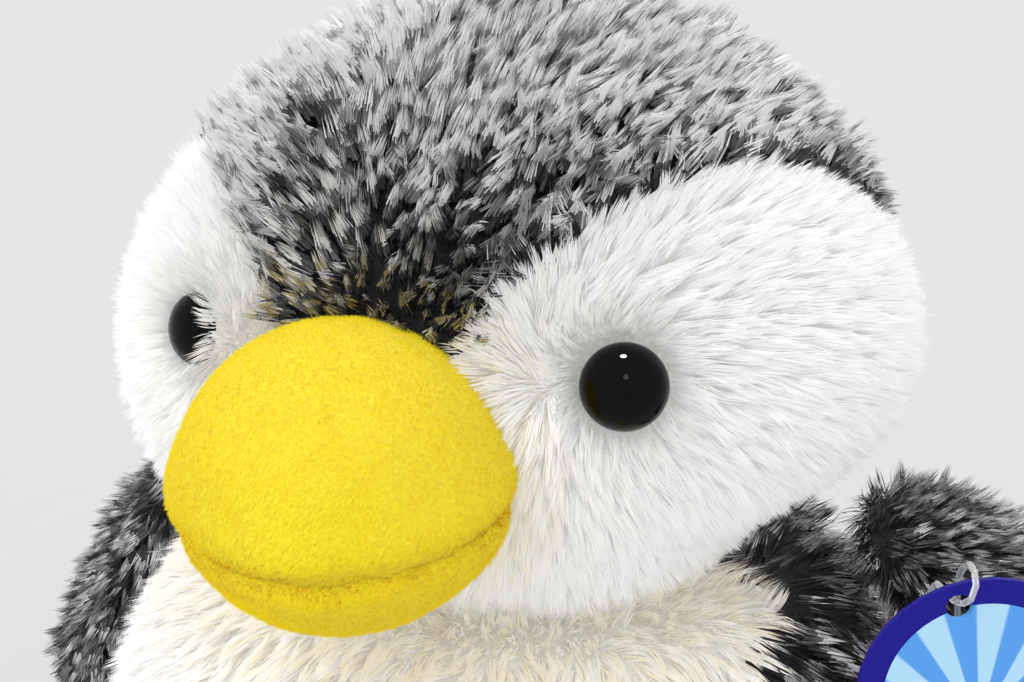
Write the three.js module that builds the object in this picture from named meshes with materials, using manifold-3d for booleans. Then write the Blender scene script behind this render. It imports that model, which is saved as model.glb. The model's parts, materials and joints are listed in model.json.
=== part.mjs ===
// Plush penguin, in millimetres. +Z is up, the toy faces -Y, and +X is its own left side.
// The origin is on the floor, at the middle of the flat base panel.
import * as THREE from "three";
import { mergeVertices } from "three/addons/utils/BufferGeometryUtils.js";
import Module from "manifold-3d";

const wasm = await Module();
wasm.setup();

// Driving dimensions
const SEAM_GAP = 0.3; // free gap between two pieces that touch
const FABRIC = 2.8; // thickness of plush fabric with its backing
const FILL_GAP = 1.2; // free gap between fabric and filling

const HEAD_CENTRE_Z = 205;
const HEAD_RADII = new THREE.Vector3(76, 54, 60);
const NECK_Z = 163; // plane of the neck seam
const PATCH_AZIMUTH = 52; // degrees from straight ahead to the middle of a white face panel
const PATCH_OUTLINE = [ // a white face panel, across and up from the middle of the head
  [-58, -4],
  [-38, 3],
  [-20.5, 24],
  [8, 37],
  [36, 30],
  [56, 13],
  [60, -14],
  [47, -46],
  [36, -80],
  [-58, -80],
];
const PATCH_MIDDLE_V = -20;
const PATCH_START = 15; // from the middle of the head to where a panel's prism starts, clear of the head's back
const PANEL_SCALE = 0.992; // a face panel over its opening in the crown

const BEAK_CENTRE = new THREE.Vector3(0, -65, -6); // from the middle of the head
const BEAK_RADII = new THREE.Vector3(27, 26.5, 24.5);
const BEAK_FABRIC = 2.2;
const MOUTH_Z = -12.5; // height of the mouth seam from the middle of the head
const MOUTH_TILT = 7; // degrees that the mouth seam drops towards the tip

const EYE_DIAMETER = 14;
const EYE_HEIGHT = 6;
const EYE_BACK = 0.4; // from the fabric to the flat back of the dome
const EYE_AZIMUTH = 30.7; // eccentric angle round the head
const EYE_ELEVATION = 7.5;
const SHANK_DIAMETER = 4;
const SHANK_LENGTH = 10;
const WASHER_DIAMETER = 14;
const WASHER_THICKNESS = 1.6;

const BODY_CENTRE_Y = 2;
const BODY_FLATTENING = 0.84; // depth over width
const BASE_RADIUS = 57;
const BELLY_RADIUS = 86;
const SHOULDER_RADIUS = 66;
const BODY_POINTS = [ // radius and height
  [BASE_RADIUS, 0],
  [68, 8],
  [80, 26],
  [BELLY_RADIUS, 56],
  [83, 92],
  [79, 126],
  [74, 146],
  [SHOULDER_RADIUS, NECK_Z],
];
const CHEST_TURN = -10; // degrees from straight ahead to the middle of the white chest panel
const CHEST_OUTLINE = [ // the white chest panel from its front: half width and height
  [60, NECK_Z + 20],
  [66, 140],
  [74, 100],
  [71, 55],
  [50, 14],
  [34, -20],
];
const BASE_THICKNESS = 2.6;
const BASE_CHAMFER = 3;
const PELLET_TOP = 31;

const FLIPPER_PIVOT = new THREE.Vector3(78, 8, 169);
const FLIPPER_LENGTH = 98; // pivot to tip
const FLIPPER_HALF_WIDTH = 27;
const FLIPPER_HALF_THICKNESS = 10;
const FLIPPER_ROOT = 8; // length above the pivot
const FLIPPER_BOW = 5; // how far its middle bends back
const FLIPPER_FABRIC = 2.4;
const SPLAY_LEFT = 60; // degrees outwards from hanging straight down
const SPLAY_RIGHT = 31;

const FOOT_PIVOT = new THREE.Vector3(34, -54, 4);
const FOOT_LIFT = 15; // degrees that the toes can lift
const FOOT_TOE_OUT = 12;
const FOOT_LENGTH = 56;
const FOOT_HEEL_HEIGHT = 12;
const FOOT_TOE_HEIGHT = 18;
const FOOT_MIDDLE_Z = 6;
const FOOT_HEEL_HALF_WIDTH = 19;
const FOOT_TOE_HALF_WIDTH = 27;
const FOOT_OVERLAP = 2; // length behind the pivot
const FOOT_BODY_GAP = 1.5;
const FOOT_FABRIC = 2.2;
const SOLE_THICKNESS = 2;

const TAIL_RADII = new THREE.Vector3(19, 24, 9);
const TAIL_CENTRE = new THREE.Vector3(0, 80, 34);
const TAIL_DROOP = 18;

const LABEL_SIZE = new THREE.Vector3(0.8, 22, 18);
const LABEL_Z = 74;

const TAG_RADIUS = 21;
const TAG_THICKNESS = 0.9;
const TAG_HOLE_RADIUS = 2.2;
const TAG_TURN = 23; // degrees that the card turns towards the toy's left
const TAG_CENTRE = new THREE.Vector3(98, -27, 159.5);
const TAG_HOLE = new THREE.Vector2(-5.5, 16); // across and up from the card's middle
const LOOP_RADIUS = 0.55;

const HEAD_SEGMENTS = [24, 14];
const BEAK_SEGMENTS = [16, 10];
const BODY_SEGMENTS = 24;
const LIMB_SEGMENTS = [14, 10];
const ROUND_SEGMENTS = 14; // eyes, washers and their bores
const FAR = 400; // larger than the toy, for cutting boxes

const degrees = THREE.MathUtils.degToRad;

// Each finish of the toy
const finish = (color, roughness) => () => new THREE.MeshStandardMaterial({ color, roughness, metalness: 0 });
const frostedPlush = finish(0x4a4a4d, 0.95);
const whitePlush = finish(0xf4f2ee, 0.95);
const yellowPlush = finish(0xf2cf25, 0.9);
const fibreFill = finish(0xf3f3ef, 1);
const pelletCloth = finish(0xd8d4c8, 0.95);
const blackPlastic = finish(0x0a0a0b, 0.08);
const washerPlastic = finish(0xe9e7df, 0.5);
const tagCard = finish(0x2c36b4, 0.35);
const clearPlastic = finish(0xe8ecee, 0.25);
const satinRibbon = finish(0xf5f5f2, 0.55);

// A three.js geometry as a solid that can be joined and cut
function solid(geometry) {
  const bare = geometry.index ? geometry.toNonIndexed() : geometry.clone();
  bare.deleteAttribute("normal");
  bare.deleteAttribute("uv");
  const merged = mergeVertices(bare, 1e-4);
  const vertProperties = new Float32Array(merged.attributes.position.array);
  const triVerts = new Uint32Array(merged.index.array);
  return new wasm.Manifold(new wasm.Mesh({ numProp: 3, vertProperties, triVerts }));
}

// A solid as a three.js geometry again
function geometryOf(manifold) {
  const { vertProperties, triVerts } = manifold.getMesh();
  const geometry = new THREE.BufferGeometry();
  geometry.setAttribute("position", new THREE.BufferAttribute(new Float32Array(vertProperties), 3));
  geometry.setIndex(new THREE.BufferAttribute(new Uint32Array(triVerts), 1));
  return geometry;
}

function ball(radii, segments) {
  const geometry = new THREE.SphereGeometry(1, segments[0], segments[1]);
  geometry.rotateX(Math.PI / 2);
  geometry.scale(radii.x, radii.y, radii.z);
  return geometry;
}

function shrunk(radii, inset) {
  return new THREE.Vector3(radii.x - inset, radii.y - inset, radii.z - inset);
}

// A large box that reaches from one plane outwards: axis is x, y or z, and side is 1 or -1
function halfSpace(axis, side, at) {
  const box = new THREE.BoxGeometry(FAR, FAR, FAR);
  const shift = new THREE.Vector3();
  shift[axis] = at + (side * FAR) / 2;
  return solid(box.translate(shift.x, shift.y, shift.z));
}

function lathe(points, segments) {
  const outline = points.map(([r, z]) => new THREE.Vector2(r, z));
  return new THREE.LatheGeometry(outline, segments).rotateX(Math.PI / 2);
}

function part(name, geometry, material) {
  const mesh = new THREE.Mesh(geometry, material());
  mesh.name = name;
  return mesh;
}

const SIDES = [
  { name: "left", sign: 1, splay: SPLAY_LEFT },
  { name: "right", sign: -1, splay: SPLAY_RIGHT },
];

// Head: a stuffed ball of three plush panels, in a group at the middle of the head

const headOuter = solid(ball(HEAD_RADII, HEAD_SEGMENTS));
const headInner = solid(ball(shrunk(HEAD_RADII, FABRIC), HEAD_SEGMENTS));
const neckInHead = NECK_Z - HEAD_CENTRE_Z;
const headShell = headOuter.subtract(headInner).intersect(halfSpace("z", 1, neckInHead + SEAM_GAP));

// A prism that stands on the panel's outline and points outwards from the head
function patchCutter(sign, scale) {
  const points = PATCH_OUTLINE.map(
    ([u, v]) => new THREE.Vector2(u * scale, PATCH_MIDDLE_V + (v - PATCH_MIDDLE_V) * scale),
  );
  const shape = new THREE.Shape();
  shape.moveTo(points[0].x, points[0].y);
  shape.splineThru(points.slice(1, -1));
  shape.lineTo(points.at(-1).x, points.at(-1).y);
  const geometry = new THREE.ExtrudeGeometry(shape, { depth: FAR / 2, bevelEnabled: false, curveSegments: 2 });
  geometry.rotateX(Math.PI / 2); // the outline now stands up, and the prism points along -Y
  geometry.translate(0, -PATCH_START, 0);
  geometry.rotateZ(degrees(PATCH_AZIMUTH));
  const prism = solid(geometry);
  return sign > 0 ? prism : prism.mirror([1, 0, 0]);
}

// The eye's place on the head's surface, and the direction that it looks in
function eyeSeat(sign) {
  const u = degrees(EYE_AZIMUTH);
  const v = degrees(EYE_ELEVATION);
  const unit = new THREE.Vector3(sign * Math.sin(u) * Math.cos(v), -Math.cos(u) * Math.cos(v), Math.sin(v));
  return {
    position: unit.clone().multiply(HEAD_RADII),
    direction: unit.clone().divide(HEAD_RADII).normalize(),
  };
}

function alongEye(geometry, seat) {
  const up = new THREE.Vector3(0, 0, 1);
  geometry.applyQuaternion(new THREE.Quaternion().setFromUnitVectors(up, seat.direction));
  return geometry.translate(seat.position.x, seat.position.y, seat.position.z);
}

const WASHER_TOP = -(FABRIC + 1.6); // clear of the curved inside of the face panel

// A straight hole or pocket along the eye's shank
function eyeBore(seat, radius, top, bottom) {
  const geometry = new THREE.CylinderGeometry(radius, radius, top - bottom, ROUND_SEGMENTS);
  geometry.rotateX(Math.PI / 2).translate(0, 0, (top + bottom) / 2);
  return solid(alongEye(geometry, seat));
}

function eyeOutline() {
  const radius = EYE_DIAMETER / 2;
  const dome = new THREE.EllipseCurve(0, EYE_BACK, radius, EYE_HEIGHT - EYE_BACK, 0, Math.PI / 2);
  const points = dome.getPoints(5).map((p) => [p.x, p.y]).reverse();
  points[0][0] = 0;
  points.push([SHANK_DIAMETER / 2, EYE_BACK], [SHANK_DIAMETER / 2, -SHANK_LENGTH], [0, -SHANK_LENGTH]);
  return points.reverse();
}

function washerOutline() {
  const hole = SHANK_DIAMETER / 2 + SEAM_GAP;
  const rim = WASHER_DIAMETER / 2;
  const bottom = WASHER_TOP - WASHER_THICKNESS;
  return [
    [hole, bottom],
    [rim, bottom],
    [rim, WASHER_TOP],
    [hole, WASHER_TOP],
    [hole, bottom],
  ];
}

function makeHead() {
  const head = new THREE.Group();
  head.position.z = HEAD_CENTRE_Z;

  let crown = headShell;
  let filling = solid(ball(shrunk(HEAD_RADII, FABRIC + FILL_GAP), HEAD_SEGMENTS));
  filling = filling.intersect(halfSpace("z", 1, neckInHead + SEAM_GAP));

  for (const side of SIDES) {
    const seat = eyeSeat(side.sign);
    const half = halfSpace("x", side.sign, side.sign * SEAM_GAP * 0.5);
    const hole = eyeBore(seat, SHANK_DIAMETER / 2 + SEAM_GAP, EYE_HEIGHT, -SHANK_LENGTH);
    const panel = headShell.intersect(patchCutter(side.sign, PANEL_SCALE)).intersect(half).subtract(hole);
    head.add(part(`face_panel_${side.name}`, geometryOf(panel), whitePlush));
    crown = crown.subtract(patchCutter(side.sign, 1));

    const pocket = eyeBore(seat, WASHER_DIAMETER / 2 + SEAM_GAP, 0, -SHANK_LENGTH - SEAM_GAP);
    filling = filling.subtract(pocket);
    head.add(part(`eye_${side.name}`, alongEye(lathe(eyeOutline(), ROUND_SEGMENTS), seat), blackPlastic));
    head.add(part(`eye_washer_${side.name}`, alongEye(lathe(washerOutline(), ROUND_SEGMENTS), seat), washerPlastic));
  }
  head.add(part("head_crown", geometryOf(crown), frostedPlush));
  head.add(part("head_stuffing", geometryOf(filling), fibreFill));
  head.add(makeBeak());
  return head;
}

// Beak: a round pouch of two yellow pieces, sewn together along the mouth and sewn onto the face
function makeBeak() {
  const beak = new THREE.Group();
  const place = (manifold) => manifold.translate([BEAK_CENTRE.x, BEAK_CENTRE.y, BEAK_CENTRE.z]);
  const faceClear = solid(ball(shrunk(HEAD_RADII, -SEAM_GAP), HEAD_SEGMENTS));
  const outer = place(solid(ball(BEAK_RADII, BEAK_SEGMENTS)));
  const inner = place(solid(ball(shrunk(BEAK_RADII, BEAK_FABRIC), BEAK_SEGMENTS)));
  const pouch = outer.subtract(inner).subtract(faceClear);
  const core = place(solid(ball(shrunk(BEAK_RADII, BEAK_FABRIC + FILL_GAP), BEAK_SEGMENTS)));

  // The mouth plane passes through the face at MOUTH_Z and drops towards the tip
  const mouth = (side) => {
    const box = new THREE.BoxGeometry(FAR, FAR, FAR);
    box.translate(0, 0, side * (FAR / 2 + SEAM_GAP / 2));
    box.rotateX(degrees(MOUTH_TILT));
    return solid(box.translate(0, BEAK_CENTRE.y, MOUTH_Z));
  };
  beak.add(part("beak_upper", geometryOf(pouch.intersect(mouth(1))), yellowPlush));
  beak.add(part("beak_lower", geometryOf(pouch.intersect(mouth(-1))), yellowPlush));
  beak.add(part("beak_stuffing", geometryOf(core.subtract(faceClear)), fibreFill));
  return beak;
}

// Body: a pear shape, wider than deep

const BODY_PROFILE = new THREE.SplineCurve(BODY_POINTS.map(([r, z]) => new THREE.Vector2(r, z)));

// The body's outline between two heights, moved inwards by an inset, and closed on the axis
function bodyOutline(inset, low, high) {
  const side = BODY_PROFILE.getPoints(11).filter((p) => p.y > low + 1 && p.y < high - 1);
  const radiusAt = (z) => {
    const points = BODY_PROFILE.getPoints(64);
    const nearest = points.reduce((a, b) => (Math.abs(b.y - z) < Math.abs(a.y - z) ? b : a));
    return nearest.x;
  };
  return [
    [0, low],
    [radiusAt(low) - inset, low],
    ...side.map((p) => [p.x - inset, p.y]),
    [radiusAt(high) - inset, high],
    [0, high],
  ];
}

function bodySolid(points) {
  const geometry = lathe(points, BODY_SEGMENTS).scale(1, BODY_FLATTENING, 1);
  return solid(geometry.translate(0, BODY_CENTRE_Y, 0));
}

function chestCutter(grow) {
  const right = CHEST_OUTLINE.map(([x, z]) => new THREE.Vector2(x + grow, z));
  const left = right.map((p) => new THREE.Vector2(-p.x, p.y)).reverse();
  const shape = new THREE.Shape();
  shape.moveTo(right[0].x, right[0].y);
  shape.splineThru(right.slice(1));
  shape.lineTo(left[0].x, left[0].y);
  shape.splineThru(left.slice(1));
  const geometry = new THREE.ExtrudeGeometry(shape, { depth: FAR, bevelEnabled: false, curveSegments: 2 });
  geometry.rotateX(Math.PI / 2).rotateZ(degrees(CHEST_TURN));
  return solid(geometry.translate(0, BODY_CENTRE_Y, 0));
}

const bodyBottom = BASE_THICKNESS + SEAM_GAP;
const bodyTop = NECK_Z - SEAM_GAP;
const bodyOuter = bodySolid(bodyOutline(0, bodyBottom, bodyTop));

function makeBody() {
  const body = new THREE.Group();
  const hollow = bodySolid([
    [0, -20],
    [BASE_RADIUS - FABRIC, -20],
    ...bodyOutline(FABRIC, bodyBottom, bodyTop).slice(1, -1),
    [SHOULDER_RADIUS - FABRIC, NECK_Z + 20],
    [0, NECK_Z + 20],
  ]);
  const shell = bodyOuter.subtract(hollow);
  body.add(part("chest_panel", geometryOf(shell.intersect(chestCutter(-SEAM_GAP))), whitePlush));
  const back = shell.subtract(chestCutter(0));
  for (const side of SIDES) {
    const half = halfSpace("x", side.sign, side.sign * SEAM_GAP * 0.5);
    body.add(part(`back_panel_${side.name}`, geometryOf(back.intersect(half)), frostedPlush));
  }

  const base = [
    [0, 0],
    [BASE_RADIUS - BASE_CHAMFER, 0],
    [BASE_RADIUS, BASE_THICKNESS],
    [0, BASE_THICKNESS],
  ];
  body.add(part("base_panel", geometryOf(bodySolid(base)), frostedPlush));

  const fillInset = FABRIC + FILL_GAP;
  const pellets = bodyOutline(fillInset, bodyBottom + 3, PELLET_TOP);
  body.add(part("pellet_bag", geometryOf(bodySolid(pellets)), pelletCloth));
  const filling = bodyOutline(fillInset, PELLET_TOP + SEAM_GAP, bodyTop - SEAM_GAP);
  body.add(part("body_stuffing", geometryOf(bodySolid(filling)), fibreFill));
  return body;
}

// Tail: a short flat cone at the back, sewn into the centre-back seam
function makeTail() {
  const geometry = ball(TAIL_RADII, LIMB_SEGMENTS);
  geometry.rotateX(-degrees(TAIL_DROOP)).translate(TAIL_CENTRE.x, TAIL_CENTRE.y, TAIL_CENTRE.z);
  const clear = bodySolid(bodyOutline(-SEAM_GAP, bodyBottom, bodyTop));
  return part("tail", geometryOf(solid(geometry).subtract(clear)), frostedPlush);
}

// Care label: a blank folded ribbon in the centre-back seam, above the tail
function makeLabel() {
  const backY = BODY_CENTRE_Y + BELLY_RADIUS * BODY_FLATTENING;
  const geometry = new THREE.BoxGeometry(LABEL_SIZE.x, LABEL_SIZE.y, LABEL_SIZE.z);
  geometry.translate(0, backY + LABEL_SIZE.y / 2 + SEAM_GAP, LABEL_Z);
  return part("care_label", geometry, satinRibbon);
}

// How much fuller than a ball a limb is, so that it is square where it is sewn on: 0 at its root, 1 at its tip
function fullness(along) {
  const ballRadius = Math.max(2 * Math.sqrt(along * (1 - along)), 1e-6);
  return Math.min(Math.pow(ballRadius, 0.5 * along - 0.45), 2.2);
}

// Flippers: flat padded paddles that hang from the shoulder pivots. In its group a flipper points along -Z,
// and its outer face looks along +X on the left side.
function paddle(inset) {
  const geometry = new THREE.SphereGeometry(1, LIMB_SEGMENTS[0], LIMB_SEGMENTS[1]).rotateX(Math.PI / 2);
  const position = geometry.attributes.position;
  const length = FLIPPER_LENGTH + FLIPPER_ROOT - 2 * inset;
  for (let i = 0; i < position.count; i++) {
    const along = (1 - position.getZ(i)) / 2; // 0 at the shoulder, 1 at the tip
    const taper = fullness(along) * (1.05 - 0.3 * along * along);
    const bow = FLIPPER_BOW * Math.sin(Math.PI * along);
    position.setX(i, position.getX(i) * (FLIPPER_HALF_THICKNESS - inset));
    position.setY(i, position.getY(i) * (FLIPPER_HALF_WIDTH - inset) * taper + bow);
    position.setZ(i, FLIPPER_ROOT - inset - length * along);
  }
  return solid(geometry);
}

function makeFlipper(side) {
  const flipper = new THREE.Group();
  flipper.position.copy(FLIPPER_PIVOT);
  flipper.position.x *= side.sign;
  flipper.rotation.y = -side.sign * degrees(side.splay);
  const skin = paddle(0).subtract(paddle(FLIPPER_FABRIC));
  const outer = skin.intersect(halfSpace("x", side.sign, side.sign * SEAM_GAP * 0.5));
  const lining = skin.intersect(halfSpace("x", -side.sign, -side.sign * SEAM_GAP * 0.5));
  flipper.add(part(`flipper_${side.name}_outer`, geometryOf(outer), frostedPlush));
  flipper.add(part(`flipper_${side.name}_lining`, geometryOf(lining), frostedPlush));
  const filling = geometryOf(paddle(FLIPPER_FABRIC + SEAM_GAP * 2));
  flipper.add(part(`flipper_${side.name}_stuffing`, filling, fibreFill));
  return flipper;
}

// Feet: padded slippers with a flat sole, which lift at the heel seam

// In its group the heel pivot is the origin, and the foot points along -Y
function slipper(inset) {
  const geometry = new THREE.SphereGeometry(1, 14, 9);
  const position = geometry.attributes.position;
  for (let i = 0; i < position.count; i++) {
    const along = (1 - position.getY(i)) / 2; // 0 at the heel, 1 at the toe
    const full = fullness(along);
    const height = (FOOT_HEEL_HEIGHT + (FOOT_TOE_HEIGHT - FOOT_HEEL_HEIGHT) * along - inset) * full;
    const spread = FOOT_HEEL_HALF_WIDTH + (FOOT_TOE_HALF_WIDTH - FOOT_HEEL_HALF_WIDTH) * along;
    const halfWidth = (spread - inset) * full;
    position.setX(i, position.getX(i) * halfWidth);
    position.setY(i, FOOT_OVERLAP - inset - (FOOT_LENGTH - 2 * inset) * along);
    position.setZ(i, position.getZ(i) * height + FOOT_MIDDLE_Z - FOOT_PIVOT.z);
  }
  return solid(geometry);
}

function makeFoot(side) {
  const foot = new THREE.Group();
  foot.position.copy(FOOT_PIVOT);
  foot.position.x *= side.sign;
  foot.rotation.z = side.sign * degrees(FOOT_TOE_OUT);
  const floor = -FOOT_PIVOT.z;
  const above = (z) => halfSpace("z", 1, floor + z);

  // The body as the foot meets it, flat on the floor and with its toes lifted
  const turn = -side.sign * FOOT_TOE_OUT;
  const bodyThere = bodySolid(bodyOutline(-FOOT_BODY_GAP, bodyBottom - 4, bodyTop))
    .translate([-side.sign * FOOT_PIVOT.x, -FOOT_PIVOT.y, -FOOT_PIVOT.z])
    .rotate([0, 0, turn]);
  const bodySpace = bodyThere.add(bodyThere.rotate([FOOT_LIFT, 0, 0]));
  const outer = slipper(0).subtract(bodySpace);
  const top = outer.subtract(slipper(FOOT_FABRIC)).intersect(above(SOLE_THICKNESS + SEAM_GAP));
  const sole = outer.intersect(above(0)).intersect(halfSpace("z", -1, floor + SOLE_THICKNESS));
  const filling = slipper(FOOT_FABRIC + SEAM_GAP * 2)
    .subtract(bodySpace)
    .intersect(above(SOLE_THICKNESS + SEAM_GAP * 2));
  foot.add(part(`foot_${side.name}_top`, geometryOf(top), yellowPlush));
  foot.add(part(`foot_${side.name}_sole`, geometryOf(sole), yellowPlush));
  foot.add(part(`foot_${side.name}_stuffing`, geometryOf(filling), fibreFill));
  return foot;
}

// Hang tag: a round card with a punched hole, in its own upright plane. In its group the card faces -Y.
function makeTag() {
  const tag = new THREE.Group();
  tag.position.copy(TAG_CENTRE);
  tag.rotation.z = degrees(TAG_TURN);
  const disc = new THREE.Shape().absarc(0, 0, TAG_RADIUS, 0, Math.PI * 2);
  disc.holes.push(new THREE.Path().absarc(TAG_HOLE.x, TAG_HOLE.y, TAG_HOLE_RADIUS, 0, Math.PI * 2, true));
  const card = new THREE.ExtrudeGeometry(disc, { depth: TAG_THICKNESS, bevelEnabled: false, curveSegments: 16 });
  card.rotateX(Math.PI / 2).translate(0, TAG_THICKNESS / 2, 0);
  tag.add(part("hang_tag", geometryOf(solid(card)), tagCard));

  // Its clear fastener is one bent filament: out of the flipper's front seam, through the hole and back
  const hole = new THREE.Vector3(TAG_HOLE.x, 0, TAG_HOLE.y);
  const route = [
    new THREE.Vector3(-5, 14.5, 1),
    new THREE.Vector3(-6.5, 9.5, 6),
    new THREE.Vector3(-7.5, 6, hole.z + 1),
    new THREE.Vector3(hole.x - 0.3, 0, hole.z + 0.6),
    new THREE.Vector3(hole.x + 0.5, -3.2, hole.z + 2.6),
    new THREE.Vector3(hole.x + 1.5, -2.4, hole.z + 5.6),
    new THREE.Vector3(hole.x + 1.8, 1.5, hole.z + 6.6),
    new THREE.Vector3(-3, 7.5, hole.z + 1),
    new THREE.Vector3(-1.5, 9.5, 5),
    new THREE.Vector3(-2, 14.5, 1),
  ];
  const section = new THREE.Shape().absarc(0, 0, LOOP_RADIUS, 0, Math.PI * 2);
  const path = new THREE.CatmullRomCurve3(route);
  const filament = { steps: 26, curveSegments: 3, extrudePath: path, bevelEnabled: false };
  tag.add(part("tag_loop", geometryOf(solid(new THREE.ExtrudeGeometry(section, filament))), clearPlastic));
  return tag;
}

const penguin = new THREE.Group();
penguin.add(makeHead(), makeBody(), makeTail(), makeLabel(), makeTag());
for (const side of SIDES) penguin.add(makeFlipper(side), makeFoot(side));

export default penguin;
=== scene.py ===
"""Plush penguin: stuffed forms, their pile, the eyes and the hang tag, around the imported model."""
import json
import math
from functools import cache

import bmesh
import bpy
import numpy as np
from bpy.props import FloatProperty, FloatVectorProperty, PointerProperty
from bpy.types import Operator, Panel, PropertyGroup
from mathutils import Matrix, Vector
from mathutils.bvhtree import BVHTree
from mathutils.kdtree import KDTree


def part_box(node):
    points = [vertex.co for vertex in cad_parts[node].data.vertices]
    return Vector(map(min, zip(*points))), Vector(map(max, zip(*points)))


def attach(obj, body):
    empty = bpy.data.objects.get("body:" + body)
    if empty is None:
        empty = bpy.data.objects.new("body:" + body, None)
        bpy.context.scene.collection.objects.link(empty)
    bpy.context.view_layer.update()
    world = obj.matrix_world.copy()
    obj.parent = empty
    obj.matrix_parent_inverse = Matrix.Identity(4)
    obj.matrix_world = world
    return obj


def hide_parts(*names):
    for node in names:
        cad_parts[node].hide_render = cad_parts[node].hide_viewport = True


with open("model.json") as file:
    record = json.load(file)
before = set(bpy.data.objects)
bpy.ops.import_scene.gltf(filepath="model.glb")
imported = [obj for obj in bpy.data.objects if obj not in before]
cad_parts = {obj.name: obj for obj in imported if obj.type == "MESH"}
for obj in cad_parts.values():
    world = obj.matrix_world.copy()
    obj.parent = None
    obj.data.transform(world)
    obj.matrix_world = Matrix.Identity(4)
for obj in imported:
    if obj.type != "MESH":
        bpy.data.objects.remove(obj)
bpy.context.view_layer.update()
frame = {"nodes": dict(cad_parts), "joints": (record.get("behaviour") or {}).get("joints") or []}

bl_info = {
    "name": "Plush Penguin",
    "version": (1, 0, 0),
    "blender": (4, 5, 0),
    "location": "View3D > Sidebar > Penguin",
    "description": "Builds the soft parts, pile and finishes of a stuffed penguin",
    "category": "Add Mesh",
}

MM = 0.001
UP = Vector((0.0, 0.0, 1.0))
SIDES = {"left": 1.0, "right": -1.0}

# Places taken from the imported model
HEAD_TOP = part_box("head_crown")[1].z
NECK_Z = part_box("head_crown")[0].z
HEAD_RADII = Vector((76 * MM, 54 * MM, 60 * MM))
HEAD_CENTRE = Vector((0.0, 0.0, HEAD_TOP - HEAD_RADII.z))
BEAK_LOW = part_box("beak_lower")[0]
BEAK_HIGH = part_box("beak_upper")[1]
BEAK_CENTRE = Vector((0.0, BEAK_LOW.y + 26.5 * MM, (BEAK_LOW.z + BEAK_HIGH.z) / 2))
MOUTH_Z = (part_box("beak_upper")[0].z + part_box("beak_lower")[1].z) / 2


def joint(name):
    """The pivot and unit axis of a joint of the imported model."""
    row = next(j for j in frame["joints"] if j["name"] == name)
    return Vector(row["pos_m"]), Vector(row["axis"]).normalized()


# Sizes and colours that a user would change

def colour(name, rgb, about):
    return FloatVectorProperty(name=name, description=about, subtype="COLOR", default=rgb,
                               min=0.0, max=1.0)


def length_mm(name, value, about):
    return FloatProperty(name=name, description=about, default=value * MM, unit="LENGTH")


class PenguinPile(PropertyGroup):
    crown_length: length_mm("Crown pile", 10.0, "Length of the frosted pile on the head and back")
    face_length: length_mm("Face pile", 8.5, "Length of the white pile on the face and chest")
    flipper_length: length_mm("Flipper pile", 10.0, "Length of the frosted pile on flippers and tail")
    yellow_length: length_mm("Yellow pile", 1.3, "Length of the short pile on beak and feet")
    strand_width: length_mm("Strand width", 0.26, "Width of one strand of pile at its widest")


class PenguinColours(PropertyGroup):
    white: colour("White", (0.90, 0.897, 0.893), "White pile")
    # Cream is partly painted light: warm bounce from the beak on the face and in the fold under the head.
    cream_and_bounce: colour("Cream", (0.93, 0.87, 0.74), "White pile next to the beak")
    yellow: colour("Yellow", (0.96, 0.86, 0.02), "Beak and feet")
    black: colour("Black", (0.012, 0.012, 0.013), "Roots of the frosted pile")
    indigo: colour("Indigo", (0.008, 0.004, 0.27), "Border of the hang tag")


class PenguinSewing(PropertyGroup):
    swell: length_mm("Swell", 5.0, "Most that the filling pushes the fabric out")
    tightness: FloatProperty(name="Tightness", default=300.0,
                             description="Pressure of the filling times the size of the stuffed form")
    backing: length_mm("Backing", 1.6, "Thickness of the fabric under the pile")
    voxel: length_mm("Cloth step", 5.0, "Size of the faces of the simulated fabric")


class PenguinStage(PropertyGroup):
    azimuth: FloatProperty(name="Azimuth", description="Camera's turn round the toy", subtype="ANGLE",
                           default=math.radians(23.0))
    elevation: FloatProperty(name="Elevation", description="Camera's angle above level", subtype="ANGLE",
                             default=math.radians(16.0))
    lens: FloatProperty(name="Lens", description="Focal length in millimetres", default=42.88)


def settings(group):
    return getattr(bpy.context.scene, f"penguin_{group}")


# Shares from 0 to 1 that shape the forms and the pile; their lengths are in mm

def step(values, start, width):
    """0 up to the start, then rising to 1 over the width."""
    return np.clip((values - start * MM) / (width * MM), 0, 1)


def bell(values, middle, width):
    """1 at the middle, falling to nothing over about twice the width on both sides."""
    return np.exp(-((values - middle * MM) / (width * MM)) ** 2)


def from_head(points):
    """The way from the middle of the head to each point."""
    return points - np.array(HEAD_CENTRE)


# Materials

def node_material(name, constants):
    """A material with its node tree and its shader, whose own sockets hold the constants."""
    material = bpy.data.materials.new(name)
    material.use_nodes = True
    shader = material.node_tree.nodes["Principled BSDF"]
    for socket, value in constants.items():
        shader.inputs[socket].default_value = value
    return material, material.node_tree, shader


def strand_material(name, rgb, roughness, sheen, painted_glow=0.0):
    """One dyed shade of pile fibre; a piece of pile mixes several. Its glow is painted light: emission
    that stands in for light passing through the thin pale fibres and lifts their shade."""
    return node_material(name, {
        "Base Color": (*rgb, 1.0),
        "Emission Color": (*rgb, 1.0),
        "Emission Strength": painted_glow,
        "Roughness": roughness,
        "Sheen Weight": sheen,
        "Specular IOR Level": 0.35,
    })[0]


def noise(tree, scale, detail=3.0):
    """The values of a noise on Object coordinates."""
    node = tree.nodes.new("ShaderNodeTexNoise")
    node.inputs["Scale"].default_value = scale
    node.inputs["Detail"].default_value = detail
    tree.links.new(tree.nodes.new("ShaderNodeTexCoord").outputs["Object"], node.inputs["Vector"])
    return node.outputs["Fac"]


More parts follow.
